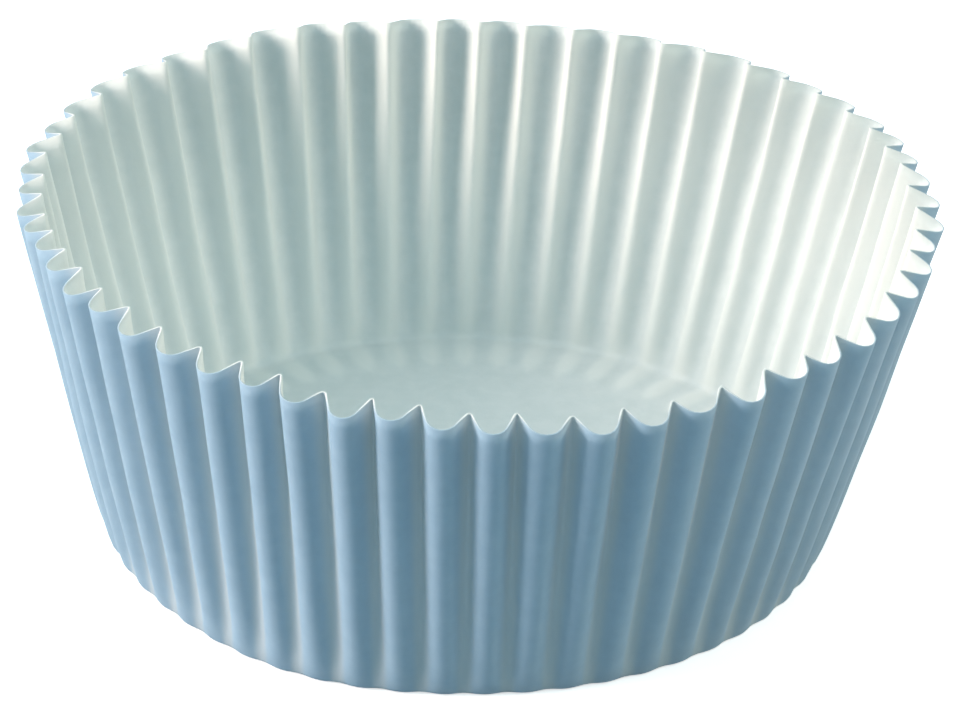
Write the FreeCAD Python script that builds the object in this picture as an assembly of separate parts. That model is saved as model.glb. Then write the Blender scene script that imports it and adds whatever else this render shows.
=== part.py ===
"""Pleated paper baking cup: one round sheet of thin paper, pressed so that its middle stays flat as the
floor and the ring around it stands up as a wall of evenly spaced round pleats.

Frame: millimetres, +Z up, origin at the centre of the floor's underside. The crest of a pleat points
along +X.

Paper doesn't stretch. The bottom edge and the cut edge are as long as those rings of the flat sheet were,
so the pleats are shallow at the floor and deep at the mouth. The wall between them is made of narrow flat
facets that join points where both edges face the same way. Sections lie square to the leaning wall, and
the cut slopes a little more, which is why the cut edge rises to a point at every inward fold.
"""

import FreeCAD
import Part
import math
import os

# Driving dimensions, in millimetres and degrees
FLOOR_DIAMETER = 50.0  # across the bottom edge, taken as a sharp corner
WALL_LENGTH = 24.5  # paper from that corner up to the cut edge, along an inward fold
MOUTH_DIAMETER = 59.3  # across the cut edge, from inward fold to inward fold
PLEAT_COUNT = 56
PAPER_THICKNESS = 0.08
EDGE_RADIUS = 0.9  # round of the bottom edge
FLANK_SHARE = 0.5  # straight part of a half pleat, the rest is its round crest
CUT_SLOPE = 7.0  # how much further than square to the wall the cut leans down from folds to crests

# How finely the rounds are cut into facets
EDGE_FACETS = 3  # up the round of the bottom edge
CREST_FACETS = 3  # across the crest that a pleat has at the bottom edge
SHOULDER_FACETS = 5  # across each shoulder that the crest gains by the mouth
NODE = "cupcake_liner"

HALF_PITCH = math.pi / PLEAT_COUNT
HALF_PAPER = PAPER_THICKNESS / 2
SKINS = (HALF_PAPER, -HALF_PAPER)  # outer and inner face of the paper, from its middle
WALL_RISE = math.acos((MOUTH_DIAMETER - FLOOR_DIAMETER) / (2 * WALL_LENGTH))
EDGE_TANGENT = EDGE_RADIUS * math.tan(WALL_RISE / 2)
FLAT_RADIUS = FLOOR_DIAMETER / 2 - EDGE_TANGENT
STRAIGHT_LENGTH = WALL_LENGTH - EDGE_TANGENT


def half_pleat(half_width, half_length):
    """Crest angle, crest radius and flank length that lay half_length of paper into half_width."""
    low, high = 0.0, math.pi / 2
    for _ in range(50):
        angle = (low + high) / 2
        width = (1 - FLANK_SHARE) * math.sin(angle) / angle + FLANK_SHARE * math.cos(angle)
        if width * half_length > half_width:
            low = angle
        else:
            high = angle
    return angle, (1 - FLANK_SHARE) * half_length / angle, FLANK_SHARE * half_length


def steps(start, end, count):
    """Even steps from start to end, both included."""
    return [start + (end - start) * step / count for step in range(count + 1)]


class Section:
    """One pleat's section, square to the wall, from fold to fold."""

    def __init__(self, rise, straight):
        """Rise is the paper's angle there, and straight how far up the straight wall it is."""
        radius = FLAT_RADIUS + EDGE_RADIUS * math.sin(rise) + straight * math.cos(rise)
        height = HALF_PAPER + EDGE_RADIUS * (1 - math.cos(rise)) + straight * math.sin(rise)
        sheet_radius = FLAT_RADIUS + EDGE_RADIUS * rise + straight
        self.half_width = radius * math.sin(HALF_PITCH)
        self.flat = rise == 0
        self.angle, self.radius, self.flank = 0.0, 0.0, self.half_width * FLANK_SHARE
        if not self.flat:
            half_length = sheet_radius * math.sin(HALF_PITCH)
            self.angle, self.radius, self.flank = half_pleat(self.half_width, half_length)
        self.depth = self.radius * (1 - math.cos(self.angle)) + self.flank * math.sin(self.angle)
        self.origin = FreeCAD.Vector(radius * math.cos(HALF_PITCH), 0, height)
        self.aim(rise - math.pi / 2)

    def aim(self, lean):
        """Set the direction from fold to crest, as an angle above the level."""
        self.lean = lean
        self.outward = FreeCAD.Vector(math.cos(lean), 0, math.sin(lean))
        self.side_slope = math.cos(lean) * math.tan(HALF_PITCH)

    def place(self, across, out):
        """A point of the section in space."""
        return self.origin + self.outward * out + FreeCAD.Vector(0, across, 0)

    def crest(self, angles, skin):
        """Points of the round crest at these angles from its top, on one skin."""
        radius = self.radius + skin
        centre = self.depth - self.radius
        return [self.place(radius * math.sin(a), centre + radius * math.cos(a)) for a in angles]

    def fold(self, side, skin):
        """Point on one skin where the flank meets the next pleat's."""
        radius = self.radius + skin
        across = radius * math.sin(self.angle)
        out = self.depth - self.radius + radius * math.cos(self.angle)
        gap = self.half_width + out * self.side_slope - across
        reach = gap / (math.cos(self.angle) + math.sin(self.angle) * self.side_slope)
        return self.place(side * (across + reach * math.cos(self.angle)), out - reach * math.sin(self.angle))

    def row(self, skin):
        """Points from fold to fold across the pleat, with the crest cut into even facets."""
        if self.flat:
            shoulder = self.half_width - self.flank
            acrosses = [-self.half_width, *steps(-shoulder, shoulder, CREST_FACETS), self.half_width]
            return [self.place(across, skin) for across in acrosses]
        crest = self.crest(steps(-self.angle, self.angle, CREST_FACETS), skin)
        return [self.fold(-1, skin), *crest, self.fold(1, skin)]


def line(start, end):
    """Straight edge between two points."""
    return Part.LineSegment(start, end).toShape()


def flat_face(corners):
    """Flat face with these corners."""
    return Part.Face(Part.makePolygon([*corners, corners[0]]))


def stretches(*rows):
    """Neighbouring points of the rows, as each next pair of every row."""
    return zip(*([(a, b) for a, b in zip(row, row[1:])] for row in rows))


def twisted_strip(lower, upper):
    """Faces between two rows of points whose stretches needn't be parallel."""
    return [Part.makeRuledSurface(line(*low), line(*high)) for low, high in stretches(lower, upper)]


def flat_strip(lower, upper):
    """Flat faces between two rows of points with parallel stretches."""
    return [flat_face([*low, *high[::-1]]) for low, high in stretches(lower, upper)]


def fan(root, points):
    """Flat faces from one point to each stretch of a row."""
    return [flat_face([root, *stretch]) for (stretch,) in stretches(points)]


def shoulder_angles(foot, mouth):
    """Angles of the crest that the mouth has and the foot of the wall hasn't."""
    return steps(foot.angle, mouth.angle, SHOULDER_FACETS)


def trim(mouth, root, tip):
    """Where the line from root to tip meets the plane of the cut, which leans from the mouth's folds."""
    lean = mouth.lean - math.radians(CUT_SLOPE)
    normal = FreeCAD.Vector(-math.sin(lean), 0, math.cos(lean))
    return root + (tip - root) * ((mouth.origin - root).dot(normal) / (tip - root).dot(normal))


def cut_crest(foot, mouth, skin):
    """Points of the cut edge on one skin that stand over the crest at the foot of the wall."""
    angles = steps(-foot.angle, foot.angle, CREST_FACETS)
    return [trim(mouth, *ends) for ends in zip(foot.crest(angles, skin), mouth.crest(angles, skin))]


def cut_flank(foot, mouth, side, skin):
    """Points of the cut edge on one skin from there to the fold, which all stand over the foot's fold."""
    shoulder = mouth.crest([side * a for a in shoulder_angles(foot, mouth)[1:]], skin)
    root = foot.fold(side, skin)
    return [trim(mouth, root, tip) for tip in [*shoulder, mouth.fold(side, skin)]]


def wall(foot, mouth, skin):
    """Faces of one pleat up the wall: crest, and on each side the shoulder and the two flanks."""
    crest = cut_crest(foot, mouth, skin)
    faces = flat_strip(foot.crest(steps(-foot.angle, foot.angle, CREST_FACETS), skin), crest)
    for side, start in ((-1, crest[0]), (1, crest[-1])):
        root = foot.fold(side, skin)
        faces += fan(start, [root, *foot.crest([side * foot.angle], skin)])
        faces += fan(root, [start, *cut_flank(foot, mouth, side, skin)])
    return faces


def cut_edge(foot, mouth):
    """The paper's thickness at the mouth, along one pleat."""
    rows = []
    for skin in SKINS:
        left, right = (cut_flank(foot, mouth, side, skin) for side in (-1, 1))
        rows.append(left[::-1] + cut_crest(foot, mouth, skin) + right)
    return flat_face(rows[0] + rows[1][::-1])


def around(shapes):
    """Copies of the shapes for every pleat, turned about the cup's axis."""
    copies = []
    for pleat in range(PLEAT_COUNT):
        for shape in shapes:
            copy = shape.copy()
            turn = math.degrees(2 * HALF_PITCH) * pleat
            copy.rotate(FreeCAD.Vector(0, 0, 0), FreeCAD.Vector(0, 0, 1), turn)
            copies.append(copy)
    return copies


def floor(section, skin):
    """Face of the flat floor, bounded by the foot of every pleat."""
    row = section.row(skin)
    foot = [line(a, b) for a, b in zip(row, row[1:])]
    return Part.Face(Part.Wire(Part.__sortEdges__(around(foot))))


def cup():
    """The whole cup: floor, bottom edge, pleated wall and cut edge as one closed skin, made solid."""
    edge = [Section(rise, 0) for rise in steps(0, WALL_RISE, EDGE_FACETS)]
    foot, mouth = edge[-1], Section(WALL_RISE, STRAIGHT_LENGTH)
    # Half the angle between the lines of folds and crests squares the sections to both
    turn = math.atan((mouth.depth - foot.depth) / STRAIGHT_LENGTH) / 2
    for section, share in zip(edge + [mouth], steps(0, turn, EDGE_FACETS) + [turn]):
        section.aim(section.lean - share)
    faces = [cut_edge(foot, mouth)]
    for skin in SKINS:
        for lower, upper in zip(edge, edge[1:]):
            faces += twisted_strip(lower.row(skin), upper.row(skin))
        faces += wall(foot, mouth, skin)
    shell = Part.makeCompound(around(faces) + [floor(edge[0], skin) for skin in SKINS])
    shell.sewShape(1e-5)
    solid = Part.makeSolid(shell.Shells[0])
    if solid.Volume < 0:
        solid.reverse()
    return solid


os.makedirs("parts", exist_ok=True)
cup().exportStep(os.path.join("parts", NODE + ".step"))
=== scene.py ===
"""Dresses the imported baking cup: one pleated sheet of thin paper that stands on its flat floor."""

import logging
import math
from dataclasses import dataclass, field
from enum import Enum

import bmesh
import bpy
from mathutils import Matrix, Vector, noise


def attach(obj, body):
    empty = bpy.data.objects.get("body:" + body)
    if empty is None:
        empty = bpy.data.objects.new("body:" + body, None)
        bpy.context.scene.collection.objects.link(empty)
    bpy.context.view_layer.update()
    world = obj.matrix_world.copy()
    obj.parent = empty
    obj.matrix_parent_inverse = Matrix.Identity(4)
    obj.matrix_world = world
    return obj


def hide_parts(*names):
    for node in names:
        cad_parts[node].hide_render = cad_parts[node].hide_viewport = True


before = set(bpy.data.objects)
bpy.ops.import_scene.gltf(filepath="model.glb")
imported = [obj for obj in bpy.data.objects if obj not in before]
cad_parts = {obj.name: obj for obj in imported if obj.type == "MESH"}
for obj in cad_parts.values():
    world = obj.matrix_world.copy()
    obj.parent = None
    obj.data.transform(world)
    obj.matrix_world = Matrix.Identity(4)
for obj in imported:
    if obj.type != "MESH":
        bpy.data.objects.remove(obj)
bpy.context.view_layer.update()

logger = logging.getLogger("baking_cup")

NODE = "cupcake_liner"
BODY = "root"
SHEET_MAP = "flat_sheet"
FOLD_SHARE = "fold_share"
MAP_SCALE = 10  # the map's units for one metre of paper
MIDDLE = 1e-6  # a point closer to the axis than this is the floor's middle, in metres
STEEPEST = math.radians(85)  # no flank is steeper than this
SEARCH_STEPS = 40  # halvings in the search for a flank's angle


class Side(Enum):
    """The two faces of the paper and its cut edge, as slots of the piece."""

    OUTSIDE = 0
    INSIDE = 1
    CUT = 2


@dataclass(frozen=True)
class Wave:
    """A gentle wave round the mouth, with a whole number of crests. Its phase is in degrees."""

    crests: int
    amount: float
    phase: float

    def at(self, angle: float) -> float:
        """Height of the wave at an angle round the cup."""
        return self.amount * math.cos(self.crests * angle - math.radians(self.phase))


@dataclass(frozen=True)
class Bulge:
    """A place where the bottom edge has been pushed outwards, in degrees and metres."""

    angle: float
    spread: float
    amount: float

    def at(self, angle: float) -> float:
        """How far the bottom edge stands out at an angle round the cup."""
        away = math.remainder(angle - math.radians(self.angle), 2 * math.pi)
        return self.amount * math.exp(-((away / math.radians(self.spread)) ** 2))


@dataclass(frozen=True)
class SheetSizes:
    """Sizes of the pressed sheet in metres.

    Only the round of the bottom edge is tighter than the solid's.
    """

    floor_radius: float = 0.025
    wall_length: float = 0.0245
    mouth_radius: float = 0.02965
    edge_radius: float = 0.0006
    thickness: float = 0.00008
    pleats: int = 56
    flank_share: float = 0.5
    fold_share: float = 0.06

    @property
    def rise(self) -> float:
        """Angle between the floor and the wall's inward folds."""
        return math.acos((self.mouth_radius - self.floor_radius) / self.wall_length)

    @property
    def edge_tangent(self) -> float:
        """How much of the wall the round bottom edge takes away."""
        return self.edge_radius * math.tan(self.rise / 2)

    @property
    def flat_radius(self) -> float:
        """Radius at which the flat floor ends."""
        return self.floor_radius - self.edge_tangent

    @property
    def straight(self) -> float:
        """Length of the wall above the round bottom edge."""
        return self.wall_length - self.edge_tangent

    @property
    def half_pitch(self) -> float:
        """Half the angle that one pleat takes round the cup."""
        return math.pi / self.pleats

    @property
    def tilt(self) -> float:
        """How much the wall moves outwards for its length."""
        return (self.mouth_radius - self.floor_radius) / self.wall_length


@dataclass(frozen=True)
class Row:
    """A ring of the sheet: how steep the paper is there, and how far up the straight wall."""

    rise: float
    straight: float

    def grown(self, sizes: SheetSizes) -> float:
        """How far up the wall the ring is, from 0 at the foot to 1 at the mouth."""
        return min(1.0, self.straight / sizes.straight)

    def radius(self, sizes: SheetSizes) -> float:
        """Distance of the inward folds from the axis."""
        edge = sizes.flat_radius + sizes.edge_radius * math.sin(self.rise)
        return edge + self.straight * math.cos(self.rise)

    def height(self, sizes: SheetSizes) -> float:
        """Height of the inward folds above the table."""
        edge = sizes.thickness / 2 + sizes.edge_radius * (1 - math.cos(self.rise))
        return edge + self.straight * math.sin(self.rise)

    def reach(self, sizes: SheetSizes) -> float:
        """Radius of the ring in the flat sheet."""
        return sizes.flat_radius + sizes.edge_radius * self.rise + self.straight


@dataclass(frozen=True)
class Pleat:
    """One half of a pleat's section: a round crest, a straight flank and a tight fold."""

    angle: float
    crest: float
    flank: float
    fold: float

    @classmethod
    def folded(
        cls, half_width: float, half_length: float, flank_share: float, fold_share: float
    ) -> "Pleat":
        """Lays a length of paper into a narrower width.

        Args:
            half_width: Width that half the pleat has to fit.
            half_length: Length of paper in half the pleat.
            flank_share: Share of the paper that is in the straight flank.
            fold_share: Share of the paper that is in the rounding of the fold.

        Returns:
            The half pleat of that length and width.
        """
        low, high = 0.0, STEEPEST
        for _ in range(SEARCH_STEPS):
            angle = (low + high) / 2
            width = (1 - flank_share) * math.sin(angle) / angle + flank_share * math.cos(angle)
            if width * half_length > half_width:
                low = angle
            else:
                high = angle
        flank = flank_share * half_length
        fold = fold_share * half_length
        return cls(angle, half_length - flank - fold, flank, fold)

    @property
    def depth(self) -> float:
        """How far the crest stands out from the folds."""
        rounds = (self.crest + self.fold) / self.angle
        return rounds * (1 - math.cos(self.angle)) + self.flank * math.sin(self.angle)

    @property
    def half_width(self) -> float:
        """Width of half the pleat."""
        rounds = (self.crest + self.fold) / self.angle
        return rounds * math.sin(self.angle) + self.flank * math.cos(self.angle)

    def point(self, along: float) -> tuple[float, float]:
        """Place of a point of the paper, by its distance along the section from the crest.

        Args:
            along: Distance along the paper from the crest.

        Returns:
            Its distance across the pleat, and out from the line of the folds.
        """
        left = self.crest + self.flank + self.fold - along
        if along <= self.crest:
            radius = self.crest / self.angle
            turn = along / radius
            return radius * math.sin(turn), self.depth - radius * (1 - math.cos(turn))
        radius = self.fold / self.angle
        if left <= self.fold:
            turn = left / radius
            return self.half_width - radius * math.sin(turn), radius * (1 - math.cos(turn))
        rest = left - self.fold
        across = radius * math.sin(self.angle) + rest * math.cos(self.angle)
        out = radius * (1 - math.cos(self.angle)) + rest * math.sin(self.angle)
        return self.half_width - across, out


@dataclass(frozen=True)
class PleatShape:
    """How a pleat's section changes up the wall, and which way it leans.

    At the foot the flanks are shorter and the folds rounder. The section leans further than
    square to the wall, more at the mouth than at the foot.
    """

    softness: float = 2.5
    flank_lost: float = 0.8
    fold_gained: float = 0.34
    foot_lean: float = math.radians(2)
    mouth_lean: float = math.radians(7)
    crowding: float = 1.25

    def sheet_share(self, across_share: float) -> float:
        """Place on the paper of a column, which lie closer together near the folds."""
        return math.copysign(1 - (1 - abs(across_share)) ** self.crowding, across_share)

    def section(self, row: Row, sizes: SheetSizes) -> Pleat:
        """Folds half a pleat for one ring.

        Args:
            row: The ring.
            sizes: The sheet's sizes.

        Returns:
            The half pleat.
        """
        soft = (1 - row.grown(sizes)) ** self.softness
        return Pleat.folded(
            row.radius(sizes) * math.sin(sizes.half_pitch),
            row.reach(sizes) * math.sin(sizes.half_pitch),
            sizes.flank_share * (1 - self.flank_lost * soft),
            sizes.fold_share + self.fold_gained * soft,
        )

    def lean(self, row: Row, sizes: SheetSizes) -> float:
        """Direction from fold to crest at one ring, as an angle above the level."""
        lean = row.rise - math.pi / 2 - self.foot_lean * row.rise / sizes.rise
        return lean - self.mouth_lean * row.grown(sizes)


@dataclass(frozen=True)
class Flutes:
    """Shallow flutes at the foot of the wall and on the floor's border, and how far the painted fold
    shading reaches onto them. Lengths are in metres.
    """

    depth: float = 0.00026
    run: float = 0.0055
    at_edge: float = 0.25
    growth: float = 0.0025
    # how soon the painted fold light and shade grows on the floor's flutes
    painted_fold_gain: float = 2

    def share(self, away: float) -> float:
        """How deep the flutes are, as a share, by the distance from the bottom edge."""
        return min(1.0, self.at_edge + away / self.growth)

    def floor_share(self, away: float) -> float:
        """How deep they are on the floor, where they fade towards its middle."""
        left = max(0.0, 1 - away / self.run)
        return left * left * (3 - 2 * left) * self.share(away)

    def wall_share(self, row: Row, sizes: SheetSizes) -> float:
        """How deep they are on the wall, where they fade towards the mouth."""
        return (1 - row.grown(sizes)) ** 2 * self.share(row.straight)

    def lift(self, fold_share: float, share: float) -> float:
        """How far a point stands above the hollows of the flutes."""
        return self.depth * (1 - math.cos(math.pi * fold_share)) / 2 * share


class Trait(Enum):
    """The ways in which one pleat differs from the next, each with random values of its own."""

    CREST_DEPTH = 0
    CREST_SHIFT = 1
    FOLD_RADIUS = 2
    FOLD_ANGLE = 3
    CUT_HEIGHT = 4


@dataclass(frozen=True)
class Unevenness:
    """How far one pleat differs from the next, at the mouth. Lengths are in metres.

    The spacing and the two layers say where the values are read in Blender's noise.
    """

    fold_angle: float = math.radians(0.13)
    fold_radius: float = 0.00008
    crest_depth: float = 0.07
    crest_shift: float = 0.00010
    cut_height: float = 0.00010
    ripple: float = 0.00010
    ripple_length: float = 0.006
    ripple_start: float = 3
    ripple_spacing: float = 3.7
    ripple_layer: float = 1.3
    pick_layer: float = 7.5
    cut_growth: int = 4

    def pick(self, number: int, trait: Trait) -> float:
        """A fixed random value from -1 to 1 for one pleat and one trait."""
        cell = Vector((number + 0.5, trait.value + 0.5, self.pick_layer))
        return noise.cell(cell) * 2 - 1

    def ripple_at(self, fold: int, row: Row, grown: float) -> float:
        """How far a fold ripples in or out at one ring."""
        across, along = fold * self.ripple_spacing, row.straight / self.ripple_length
        ripple = noise.noise(Vector((across, along, self.ripple_layer)))
        return self.ripple * ripple * min(1, self.ripple_start * grown)


@dataclass
class BakingCup:
    """The whole cup as one mesh: floor, bottom edge and pleated wall.

    The plain share is the paper's thickness as a share of the frayed cut's at a fold tip.
    """

    sizes: SheetSizes = field(default_factory=SheetSizes)
    shape: PleatShape = field(default_factory=PleatShape)
    flutes: Flutes = field(default_factory=Flutes)
    uneven: Unevenness = field(default_factory=Unevenness)
    columns: int = 18
    edge_rows: int = 4
    wall_rows: int = 25
    floor_rings: tuple[float, ...] = (0.985, 0.96, 0.93, 0.9, 0.87, 0.84, 0.8, 0.7, 0.5, 0.25)
    plain_share: float = 0.5
    radial_waves: tuple[Wave, ...] = (
        Wave(1, 0.00054, 27.7),
        Wave(2, 0.00074, -42.0),
        Wave(3, 0.00074, 98.7),
        Wave(4, 0.00023, 160.2),
        Wave(5, 0.00011, -92.4),
    )
    round_waves: tuple[Wave, ...] = (
        Wave(1, math.radians(0.88), -32.0),
        Wave(2, math.radians(1.63), -47.0),
        Wave(3, math.radians(0.72), 24.6),
        Wave(4, math.radians(0.64), -58.5),
        Wave(5, math.radians(0.29), 125.0),
    )
    bulges: tuple[Bulge, ...] = (Bulge(-111.5, 19, 0.00060), Bulge(-60, 40, 0.00010))

    @property
    def segments(self) -> int:
        """Number of points round the sheet."""
        return self.sizes.pleats * self.columns

    def pushed(self, angle: float) -> float:
        """How far the bottom edge stands out from its circle at an angle."""
        return sum(bulge.at(angle) for bulge in self.bulges)

    def fold_share(self, column: int) -> float:
        """How near a point round the sheet is to a fold, from 0 on a crest to 1 on a fold."""
        return abs(column / self.columns - round(column / self.columns)) * 2

    def rows(self) -> list[Row]:
        """Rings of the sheet from the end of the floor to the cut edge."""
        rise = self.sizes.rise
        edge = [Row(rise * step / self.edge_rows, 0.0) for step in range(1, self.edge_rows + 1)]
        wall = [
            Row(rise, self.sizes.straight * step / self.wall_rows)
            for step in range(1, self.wall_rows + 1)
        ]
        return edge + wall

    def place(self, column: int, row: Row) -> Vector:
        """Finds where a point of the sheet lies once it is pressed and has been handled.

        Args:
            column: Number of the point round the sheet.
            row: Ring of the sheet that it is on.

        Returns:
            The point, in metres.
        """
        sizes, shape, uneven = self.sizes, self.shape, self.uneven
        pleat_number = math.floor(column / self.columns + 0.5)
        pleat_name = pleat_number % sizes.pleats
        across_share = (column / self.columns - pleat_number) * 2
        grown = row.grown(sizes)

        sheet_share = shape.sheet_share(across_share)
        half_length = row.reach(sizes) * math.sin(sizes.half_pitch)
        across, out = shape.section(row, sizes).point(abs(sheet_share) * half_length)
        across = math.copysign(across, sheet_share)
        out *= 1 + uneven.crest_depth * uneven.pick(pleat_name, Trait.CREST_DEPTH) * grown
        hump = math.cos(across_share * math.pi / 2)
        across += uneven.crest_shift * uneven.pick(pleat_name, Trait.CREST_SHIFT) * grown * hump

        lean = shape.lean(row, sizes)
        flute = self.flutes.lift(self.fold_share(column), self.flutes.wall_share(row, sizes))
        outward = row.radius(sizes) * math.cos(sizes.half_pitch) + out * math.cos(lean)
        outward -= flute * math.sin(row.rise)
        height = row.height(sizes) + out * math.sin(lean) + flute * math.cos(row.rise)
        angle = math.atan2(across, outward) + pleat_number * 2 * sizes.half_pitch
        distance = math.hypot(across, outward)

        for side in (0, 1):
            fold = (pleat_number + side) % sizes.pleats
            share = (1 + across_share) / 2 if side else (1 - across_share) / 2
            distance += share * grown * uneven.fold_radius * uneven.pick(fold, Trait.FOLD_RADIUS)
            distance += share * uneven.ripple_at(fold, row, grown)
            angle += share * grown * uneven.fold_angle * uneven.pick(fold, Trait.FOLD_ANGLE)
            cut = uneven.cut_height * uneven.pick(fold, Trait.CUT_HEIGHT)
            height += share * grown**uneven.cut_growth * cut

        push = sum(wave.at(angle) for wave in self.radial_waves) * grown
        angle += sum(wave.at(angle) for wave in self.round_waves) * grown
        distance += push + self.pushed(angle) * (1 - grown) ** 2
        height -= push * sizes.tilt
        return Vector((distance * math.cos(angle), distance * math.sin(angle), height))

    def build(self) -> bpy.types.Object:
        """Models the sheet ring by ring and gives it its thickness.

        Returns:
            The cup's object.
        """
        mesh = bmesh.new()
        foot = self.start_ring(mesh)
        self.raise_wall(mesh, foot)
        self.lay_floor(mesh, foot)
        bmesh.ops.recalc_face_normals(mesh, faces=mesh.faces)
        low = min(mesh.faces, key=lambda face: face.calc_center_median().z)
        if low.normal.z > 0:
            bmesh.ops.reverse_faces(mesh, faces=mesh.faces)
        self.map_sheet(mesh)
        for face in mesh.faces:
            face.smooth = True

        data = bpy.data.meshes.new("paper_cup")
        mesh.to_mesh(data)
        mesh.free()
        cup = bpy.data.objects.new("paper_cup", data)
        bpy.context.collection.objects.link(cup)
        wall = cup.modifiers.new("paper_thickness", "SOLIDIFY")
        wall.thickness = self.sizes.thickness / self.plain_share
        wall.offset = 0
        wall.vertex_group = cup.vertex_groups.new(name="frayed_cut").name
        wall.thickness_vertex_group = self.plain_share
        wall.material_offset = Side.INSIDE.value
        wall.material_offset_rim = Side.CUT.value
        return cup

    def start_ring(self, mesh: bmesh.types.BMesh) -> list[bmesh.types.BMEdge]:
        """Makes the ring where the flat floor ends.

        Args:
            mesh: The empty mesh to make it in.

        Returns:
            The ring's edges.
        """
        sizes = self.sizes
        column_of = mesh.verts.layers.int.new("column")
        reach_of = mesh.verts.layers.float.new("reach")
        fold_of = mesh.verts.layers.float.new(FOLD_SHARE)
        mesh.verts.layers.deform.verify()
        bmesh.ops.create_circle(
            mesh, cap_ends=False, segments=self.segments, radius=sizes.flat_radius
        )
        for vert in mesh.verts:
            turn = math.atan2(vert.co.y, vert.co.x) / (2 * math.pi)
            vert[column_of] = round(turn * self.segments) % self.segments
            vert[reach_of] = sizes.flat_radius
            vert[fold_of] = self.fold_share(vert[column_of])
            vert.co *= 1 + self.pushed(turn * 2 * math.pi) / sizes.flat_radius
            flute = self.flutes.lift(vert[fold_of], self.flutes.at_edge)
            vert.co.z = sizes.thickness / 2 + flute
        return list(mesh.edges)

    def raise_wall(self, mesh: bmesh.types.BMesh, foot: list[bmesh.types.BMEdge]) -> None:
        """Adds the bottom edge and the wall, and marks where the cut looks thicker.

        Args:
            mesh: The cup's mesh.
            foot: Edges of the ring where the floor ends.
        """
        column_of = mesh.verts.layers.int["column"]
        reach_of = mesh.verts.layers.float["reach"]
        fold_of = mesh.verts.layers.float[FOLD_SHARE]
        fray = mesh.verts.layers.deform.verify()
        ring = foot
        for row in self.rows():
            ring, verts = self.next_ring(mesh, ring)
            for vert in verts:
                vert.co = self.place(vert[column_of], row)
                vert[reach_of] = row.reach(self.sizes)
                vert[fold_of] = self.fold_share(vert[column_of])
        for vert in verts:
            vert[fray][0] = vert[fold_of]

    def lay_floor(self, mesh: bmesh.types.BMesh, foot: list[bmesh.types.BMEdge]) -> None:
        """Fills the floor ring by ring towards its middle.

        Args:
            mesh: The cup's mesh.
            foot: Edges of the ring where the floor ends.
        """
        sizes, flutes = self.sizes, self.flutes
        column_of = mesh.verts.layers.int["column"]
        reach_of = mesh.verts.layers.float["reach"]
        fold_of = mesh.verts.layers.float[FOLD_SHARE]
        ring = foot
        for share in self.floor_rings:
            ring, verts = self.next_ring(mesh, ring)
            reach = sizes.flat_radius * share
            fluted = flutes.floor_share(sizes.flat_radius - reach)
            for vert in verts:
                turn = vert[column_of] / self.segments * 2 * math.pi
                fold_share = self.fold_share(vert[column_of])
                distance = reach + self.pushed(turn) * share
                height = sizes.thickness / 2 + flutes.lift(fold_share, fluted)
                vert[reach_of] = reach
                # painted fold light and shade, faded onto the floor's flutes
                vert[fold_of] = fold_share * min(1.0, flutes.painted_fold_gain * fluted)
                vert.co = Vector((distance * math.cos(turn), distance * math.sin(turn), height))
        bmesh.ops.pointmerge(mesh, verts=verts, merge_co=Vector((0, 0, sizes.thickness / 2)))

    @staticmethod
    def next_ring(
        mesh: bmesh.types.BMesh, ring: list[bmesh.types.BMEdge]
    ) -> tuple[list[bmesh.types.BMEdge], list[bmesh.types.BMVert]]:
        """Extrudes a ring of edges.

        Args:
            mesh: The mesh that the ring is part of.
            ring: Edges of the ring.

        Returns:
            The new ring's edges and vertices.
        """
        made = bmesh.ops.extrude_edge_only(mesh, edges=ring)["geom"]
        verts = {item for item in made if isinstance(item, bmesh.types.BMVert)}
        edges = [item for item in made if isinstance(item, bmesh.types.BMEdge)]
        return [edge for edge in edges if verts.issuperset(edge.verts)], list(verts)

    def map_sheet(self, mesh: bmesh.types.BMesh) -> None:
        """Maps every face to its place on the flat sheet, so that patterns follow the paper.

        Args:
            mesh: The cup's mesh.
        """
        column_of = mesh.verts.layers.int["column"]
        reach_of = mesh.verts.layers.float["reach"]
        sheet = mesh.loops.layers.uv.new(SHEET_MAP)
        for face in mesh.faces:
            for loop in face.loops:
                turn = loop.vert[column_of] / self.segments * 2 * math.pi
                reach = loop.vert[reach_of] * MAP_SCALE
                if loop.vert.co.xy.length < MIDDLE:
                    reach = 0.0
                loop[sheet].uv = (0.5 + reach * math.cos(turn), 0.5 + reach * math.sin(turn))


@dataclass(frozen=True)
class Pattern:
    """A cloudy pattern on the flat sheet's map."""

    scale: float
    detail: float
    roughness: float = 0.5
    distortion: float = 0.0

    def add(self, tree: bpy.types.NodeTree, sheet: bpy.types.Node) -> bpy.types.NodeSocket:
        """Adds the pattern to a material.

        Args:
            tree: The material's nodes.
            sheet: The node that reads the sheet's map.

        Returns:
            The pattern's value, from 0 to 1.
        """
        clouds = tree.nodes.new("ShaderNodeTexNoise")
        clouds.inputs["Scale"].default_value = self.scale
        clouds.inputs["Detail"].default_value = self.detail
        clouds.inputs["Roughness"].default_value = self.roughness
        clouds.inputs["Distortion"].default_value = self.distortion
        tree.links.new(sheet.outputs["UV"], clouds.inputs["Vector"])
        return clouds.outputs["Fac"]


@dataclass(frozen=True)
class Relief:
    """A fine relief in the paper. Its height is in metres."""

    pattern: Pattern
    strength: float
    height: float

    def add(self, tree: bpy.types.NodeTree, sheet: bpy.types.Node) -> bpy.types.Node:
        """Adds the relief to a material.

        Args:
            tree: The material's nodes.
            sheet: The node that reads the sheet's map.

        Returns:
            The node that bends the surface's normal.
        """
        bump = tree.nodes.new("ShaderNodeBump")
        bump.inputs["Strength"].default_value = self.strength
        bump.inputs["Distance"].default_value = self.height
        tree.links.new(self.pattern.add(tree, sheet), bump.inputs["Height"])
        return bump


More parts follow.
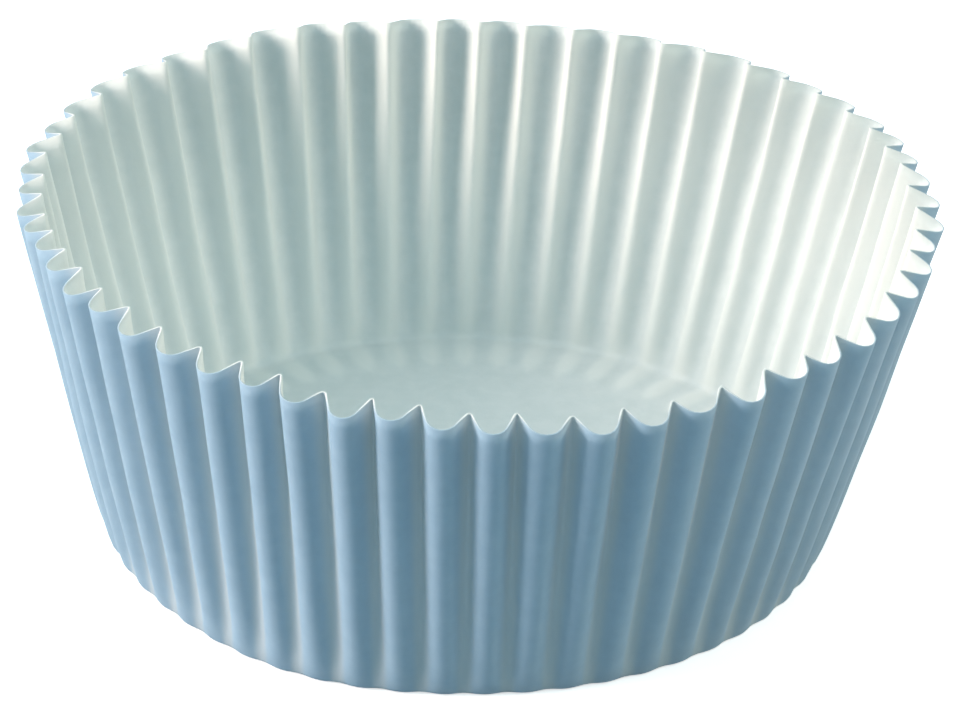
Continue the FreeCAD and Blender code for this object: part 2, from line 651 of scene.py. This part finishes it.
CLOUDS = Pattern(scale=70, detail=5, roughness=0.62)
CLOUD_RANGE = (0.36, 0.62)
FIBRES = Relief(Pattern(scale=420, detail=3, distortion=0.6), strength=0.35, height=0.00004)
COCKLE = Relief(Pattern(scale=45, detail=2), strength=0.5, height=0.00015)


@dataclass(frozen=True)
class PaperFinish:
    """One face of thin paper that lets part of the light through.

    Its colour changes to a painted fold tone between two distances from crest to fold, as shares:
    painted light and shade along the folds, not a colour of the paper.
    """

    name: str
    colour: tuple[float, float, float]
    cloud: tuple[float, float, float]
    painted_fold_tone: tuple[float, float, float]
    glow: tuple[float, float, float] = (0.97, 0.98, 0.93)
    painted_fold_start: float = 0.4
    painted_fold_end: float = 0.8
    glow_share: float = 0.32
    roughness: float = 0.62
    shine: float = 0.25

    def material(self) -> bpy.types.Material:
        """Makes the paper's material.

        Returns:
            A material with cloudy colour, painted light and shade along the folds, fine fibres and a
            glow from light behind.
        """
        material = bpy.data.materials.new(self.name)
        material.use_nodes = True
        tree = material.node_tree
        nodes, links = tree.nodes, tree.links
        nodes.clear()
        sheet = nodes.new("ShaderNodeUVMap")
        sheet.uv_map = SHEET_MAP
        fibres, cockle = FIBRES.add(tree, sheet), COCKLE.add(tree, sheet)
        links.new(fibres.outputs["Normal"], cockle.inputs["Normal"])

        surface = nodes.new("ShaderNodeBsdfPrincipled")
        surface.inputs["Roughness"].default_value = self.roughness
        surface.inputs["Specular IOR Level"].default_value = self.shine
        links.new(self.tint(tree, sheet), surface.inputs["Base Color"])
        links.new(cockle.outputs["Normal"], surface.inputs["Normal"])
        behind = nodes.new("ShaderNodeBsdfTranslucent")
        behind.inputs["Color"].default_value = (*self.glow, 1)
        mixed = nodes.new("ShaderNodeMixShader")
        mixed.inputs["Fac"].default_value = self.glow_share
        links.new(surface.outputs["BSDF"], mixed.inputs[1])
        links.new(behind.outputs["BSDF"], mixed.inputs[2])
        output = nodes.new("ShaderNodeOutputMaterial")
        links.new(mixed.outputs["Shader"], output.inputs["Surface"])
        return material

    def tint(self, tree: bpy.types.NodeTree, sheet: bpy.types.Node) -> bpy.types.NodeSocket:
        """Adds the paper's cloudy colour, with painted light and shade that changes it along the
        folds.

        Args:
            tree: The material's nodes.
            sheet: The node that reads the sheet's map.

        Returns:
            The colour, with the painted light and shade.
        """
        nodes, links = tree.nodes, tree.links
        colours = nodes.new("ShaderNodeValToRGB")
        ends = zip(colours.color_ramp.elements, CLOUD_RANGE, (self.cloud, self.colour))
        for element, position, colour in ends:
            element.position = position
            element.color = (*colour, 1)
        links.new(CLOUDS.add(tree, sheet), colours.inputs["Fac"])
        # painted light and shade: near the folds the colour moves to the painted fold tone, which
        # stands in for how light falls on grooves and ridges
        folds = nodes.new("ShaderNodeAttribute")
        folds.attribute_name = FOLD_SHARE
        near_fold = nodes.new("ShaderNodeMapRange")
        near_fold.interpolation_type = "SMOOTHSTEP"
        near_fold.inputs["From Min"].default_value = self.painted_fold_start
        near_fold.inputs["From Max"].default_value = self.painted_fold_end
        links.new(folds.outputs["Fac"], near_fold.inputs["Value"])
        painted_folds = nodes.new("ShaderNodeMixRGB")
        painted_folds.inputs["Color2"].default_value = (*self.painted_fold_tone, 1)
        links.new(near_fold.outputs["Result"], painted_folds.inputs["Fac"])
        links.new(colours.outputs["Color"], painted_folds.inputs["Color1"])
        return painted_folds.outputs["Color"]


OUTER_PAPER = PaperFinish(
    name="paper_outside",
    colour=(0.36, 0.53, 0.70),
    cloud=(0.32, 0.49, 0.66),
    # painted shade: a greyer, less blue tone in the grooves, where less of the blue light from above
    # reaches
    painted_fold_tone=(0.48, 0.575, 0.665),
)
INNER_PAPER = PaperFinish(
    name="paper_inside",
    colour=(0.88, 0.905, 0.88),
    # painted light and shade: whiter towards the inward ridges, darker in the channels between them
    # where shade falls
    cloud=(0.825, 0.86, 0.835),
    painted_fold_tone=(0.97, 0.98, 0.94),
    painted_fold_start=0.15,
    painted_fold_end=0.75,
    glow_share=0.28,
)
CUT_PAPER = PaperFinish(
    name="paper_cut",
    colour=(0.50, 0.63, 0.74),
    cloud=(0.46, 0.60, 0.72),
    # painted highlight: the cut edge turns white near the fold tips, where light catches the flanks
    painted_fold_tone=(0.95, 0.96, 0.95),
    painted_fold_start=0.2,
)


@dataclass(frozen=True)
class Camera:
    """The camera, turned to the photograph's viewing angle.

    Lengths are in metres, but those of the lens and the sensor are in millimetres.
    """

    azimuth: float = math.radians(2.39)
    elevation: float = math.radians(28.48)
    roll: float = math.radians(1.58)
    distance: float = 0.45
    target_right: float = 0.00079
    target_height: float = 0.01228
    lens: float = 244.2
    sensor_width: float = 36
    nearest: float = 0.01

    def add(self) -> None:
        """Makes the camera and sets it as the scene's."""
        turn = Matrix.Rotation(self.azimuth, 4, "Z")
        back = Vector((0, -math.cos(self.elevation), math.sin(self.elevation)))
        up = Vector((0, math.sin(self.elevation), math.cos(self.elevation)))
        right = Vector((1, 0, 0))
        rolled_right = right * math.cos(self.roll) + up * math.sin(self.roll)
        rolled_up = up * math.cos(self.roll) - right * math.sin(self.roll)
        place = Matrix((rolled_right, rolled_up, back)).transposed().to_4x4()
        target = Vector((self.target_right, 0, self.target_height))
        place.translation = target + back * self.distance
        data = bpy.data.cameras.new("camera")
        data.lens = self.lens
        data.sensor_width = self.sensor_width
        data.clip_start = self.nearest
        camera = bpy.data.objects.new("camera", data)
        camera.matrix_world = turn @ place
        bpy.context.collection.objects.link(camera)
        bpy.context.scene.camera = camera


@dataclass(frozen=True)
class Lamp:
    """A round soft lamp. Its azimuth is 0 in front of the cup and 90 degrees on its right."""

    name: str
    azimuth: float
    height: float
    power: float
    size: float
    colour: tuple[float, float, float]
    distance: float = 0.6
    target_height: float = 0.012

    def add(self) -> None:
        """Makes the lamp and aims it at the cup."""
        data = bpy.data.lights.new(self.name, "AREA")
        data.shape = "DISK"
        data.size = self.size
        data.energy = self.power
        data.color = self.colour
        lamp = bpy.data.objects.new(self.name, data)
        azimuth, height = math.radians(self.azimuth), math.radians(self.height)
        level = math.cos(height)
        towards = Vector((math.sin(azimuth) * level, -math.cos(azimuth) * level, math.sin(height)))
        lamp.location = towards * self.distance + Vector((0, 0, self.target_height))
        lamp.rotation_euler = towards.to_track_quat("Z", "Y").to_euler()
        bpy.context.collection.objects.link(lamp)


@dataclass(frozen=True)
class Studio:
    """A plain pale floor, two soft lamps on the left, one on the right and light from above.

    The camera sees the floor's paint and glow, and its colour is what it throws on the cup.
    The world's light goes from level to above between two heights, from 0 to 1.
    """

    lamps: tuple[Lamp, ...] = (
        Lamp("main_lamp", -72, 23, 4.4, 0.32, (1.0, 0.86, 0.79)),
        Lamp("high_lamp", -98, 50, 0.9, 0.30, (1.0, 0.90, 0.88)),
        Lamp("right_lamp", 80, 27, 1.15, 0.34, (1.0, 0.94, 0.76)),
    )
    above: tuple[float, float, float] = (0.50, 0.74, 0.81)
    level: tuple[float, float, float] = (0.0, 0.0, 0.0)
    floor_colour: tuple[float, float, float] = (0.15, 0.28, 0.38)
    floor_paint: tuple[float, float, float] = (0.9, 0.9, 0.9)
    floor_glow: float = 0.62
    floor_drop: float = 0.00002
    floor_reach: float = 3
    dome_heights: tuple[float, float] = (0.2, 0.7)

    def add(self) -> None:
        """Makes the floor, the lamps and the world."""
        self.add_floor()
        for lamp in self.lamps:
            lamp.add()
        self.add_world()

    @staticmethod
    def seen_by_eye(tree: bpy.types.NodeTree) -> bpy.types.NodeSocket:
        """Adds nodes that tell the rays that look at things from the rays that light them.

        Light goes through the paper as transmission rays, so those aren't among them.

        Args:
            tree: The node tree to add them to.

        Returns:
            A socket that is 1 for the camera's rays and for what shines in a glossy surface.
        """
        path = tree.nodes.new("ShaderNodeLightPath")
        either = tree.nodes.new("ShaderNodeMath")
        either.operation = "MAXIMUM"
        tree.links.new(path.outputs["Is Camera Ray"], either.inputs[0])
        tree.links.new(path.outputs["Is Glossy Ray"], either.inputs[1])
        return either.outputs[0]

    def add_floor(self) -> None:
        """Makes the pale floor, which shows as white and keeps a soft shadow."""
        mesh = bmesh.new()
        bmesh.ops.create_grid(mesh, x_segments=1, y_segments=1, size=self.floor_reach)
        data = bpy.data.meshes.new("studio_floor")
        mesh.to_mesh(data)
        mesh.free()
        floor = bpy.data.objects.new("studio_floor", data)
        floor.location.z = -self.floor_drop
        bpy.context.collection.objects.link(floor)
        material = bpy.data.materials.new("pale_floor")
        material.use_nodes = True
        tree = material.node_tree
        tree.nodes.clear()
        matt = tree.nodes.new("ShaderNodeBsdfDiffuse")
        matt.inputs["Color"].default_value = (*self.floor_colour, 1)
        white = tree.nodes.new("ShaderNodeBsdfDiffuse")
        white.inputs["Color"].default_value = (*self.floor_paint, 1)
        lift = tree.nodes.new("ShaderNodeEmission")
        lift.inputs["Strength"].default_value = self.floor_glow
        lifted = tree.nodes.new("ShaderNodeAddShader")
        tree.links.new(white.outputs[0], lifted.inputs[0])
        tree.links.new(lift.outputs[0], lifted.inputs[1])
        mixed = tree.nodes.new("ShaderNodeMixShader")
        tree.links.new(self.seen_by_eye(tree), mixed.inputs["Fac"])
        tree.links.new(matt.outputs[0], mixed.inputs[1])
        tree.links.new(lifted.outputs[0], mixed.inputs[2])
        output = tree.nodes.new("ShaderNodeOutputMaterial")
        tree.links.new(mixed.outputs[0], output.inputs["Surface"])
        data.materials.append(material)

    def add_world(self) -> None:
        """Makes the soft light all round, which shows as white behind the cup."""
        world = bpy.data.worlds.new("studio")
        bpy.context.scene.world = world
        world.use_nodes = True
        tree = world.node_tree
        tree.nodes.clear()
        way = tree.nodes.new("ShaderNodeTexCoord")
        parts = tree.nodes.new("ShaderNodeSeparateXYZ")
        tree.links.new(way.outputs["Generated"], parts.inputs[0])
        dome = tree.nodes.new("ShaderNodeValToRGB")
        ends = zip(dome.color_ramp.elements, self.dome_heights, (self.level, self.above))
        for element, height, colour in ends:
            element.position = height
            element.color = (*colour, 1)
        tree.links.new(parts.outputs["Z"], dome.inputs["Fac"])
        light = tree.nodes.new("ShaderNodeBackground")
        tree.links.new(dome.outputs["Color"], light.inputs["Color"])
        white = tree.nodes.new("ShaderNodeBackground")
        mixed = tree.nodes.new("ShaderNodeMixShader")
        tree.links.new(self.seen_by_eye(tree), mixed.inputs["Fac"])
        tree.links.new(light.outputs[0], mixed.inputs[1])
        tree.links.new(white.outputs[0], mixed.inputs[2])
        white.inputs["Color"].default_value = (1, 1, 1, 1)
        output = tree.nodes.new("ShaderNodeOutputWorld")
        tree.links.new(mixed.outputs[0], output.inputs["Surface"])


def main() -> None:
    """Builds and dresses the cup, then sets up the studio."""
    logging.basicConfig(level=logging.INFO, format="%(name)s: %(message)s")
    cup = BakingCup().build()
    cup.data.materials.append(OUTER_PAPER.material())
    cup.data.materials.append(INNER_PAPER.material())
    cup.data.materials.append(CUT_PAPER.material())
    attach(cup, BODY)
    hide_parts(NODE)
    logger.info("%s has %d faces before its thickness", cup.name, len(cup.data.polygons))
    Camera().add()
    Studio().add()
    bpy.context.scene.view_settings.view_transform = "Standard"


if __name__ == "__main__":
    main()
